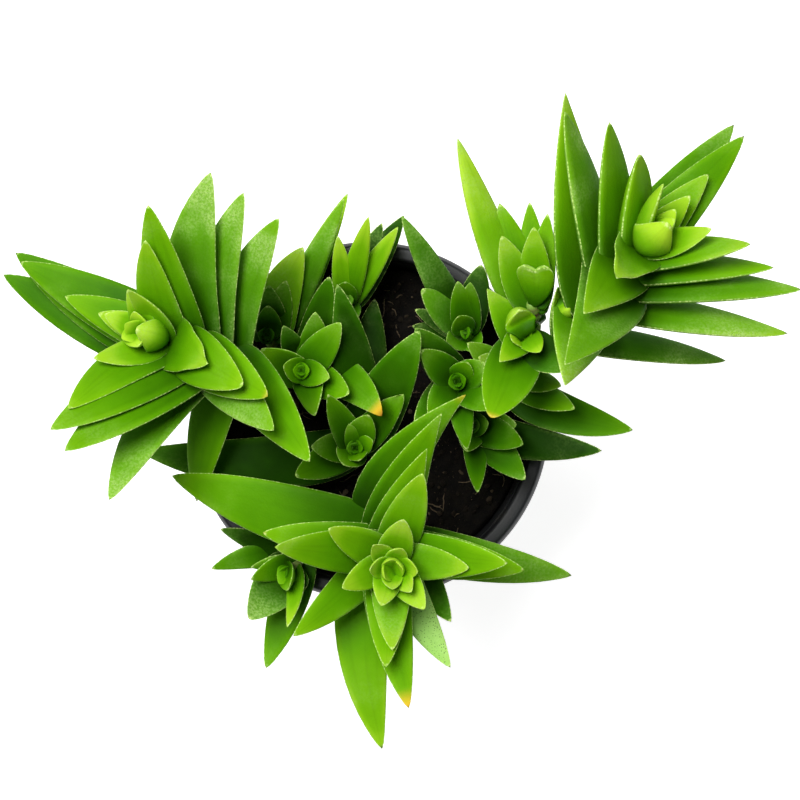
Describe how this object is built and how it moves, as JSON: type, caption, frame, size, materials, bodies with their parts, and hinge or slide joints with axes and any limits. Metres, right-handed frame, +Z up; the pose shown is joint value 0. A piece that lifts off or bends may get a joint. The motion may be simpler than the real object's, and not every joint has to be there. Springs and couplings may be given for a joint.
{
  "type": "potted crassula",
  "caption": "Leafy crassula with arching fleshy shoots in a round plastic nursery pot of soil.",
  "frame": {"origin": "centre of the pot's flat underside, where it rests on a surface", "axes": "+Z up through the pot's centre; +X to the right and +Y away from a person looking at the front shoot, which leans towards -Y"},
  "size_m": [0.2529, 0.2094, 0.1966],
  "materials": {
    "pot_plastic": "satin",
    "soil": "matte",
    "stem": "satin",
    "leaf": "satin",
    "young_leaf": "satin"
  },
  "bodies": {
    "root": {"bud_front": "young_leaf", "bud_left": "young_leaf", "bud_right": "young_leaf", "leaves_front_01": "leaf", "leaves_front_02": "leaf", "leaves_front_03": "leaf", "leaves_front_04": "leaf", "leaves_front_05": "leaf", "leaves_front_06": "leaf", "leaves_front_07": "leaf", "leaves_front_08": "leaf", "leaves_front_09": "leaf", "leaves_front_10": "leaf", "leaves_left_01": "leaf", "leaves_left_02": "leaf", "leaves_left_03": "leaf", "leaves_left_04": "leaf", "leaves_left_05": "leaf", "leaves_left_06": "leaf", "leaves_left_07": "leaf", "leaves_left_08": "leaf", "leaves_left_09": "leaf", "leaves_left_10": "leaf", "leaves_left_11": "leaf", "leaves_left_12": "leaf", "leaves_right_01": "leaf", "leaves_right_02": "leaf", "leaves_right_03": "leaf", "leaves_right_04": "leaf", "leaves_right_05": "leaf", "leaves_right_06": "leaf", "leaves_right_07": "leaf", "leaves_right_08": "leaf", "leaves_right_09": "leaf", "leaves_right_10": "leaf", "leaves_right_11": "leaf", "leaves_right_12": "leaf", "leaves_right_13": "leaf", "pot": "pot_plastic", "shoot_behind": "young_leaf", "shoot_behind_left": "young_leaf", "shoot_behind_right": "young_leaf", "shoot_centre": "young_leaf", "shoot_centre_left": "young_leaf", "shoot_heart": "young_leaf", "shoot_low_front": "young_leaf", "shoot_low_right": "young_leaf", "shoot_middle": "young_leaf", "shoot_rosette": "young_leaf", "shoot_tiny": "young_leaf", "soil": "soil", "stem_front": "stem", "stem_left": "stem", "stem_right": "stem"}
  },
  "joints": []
}
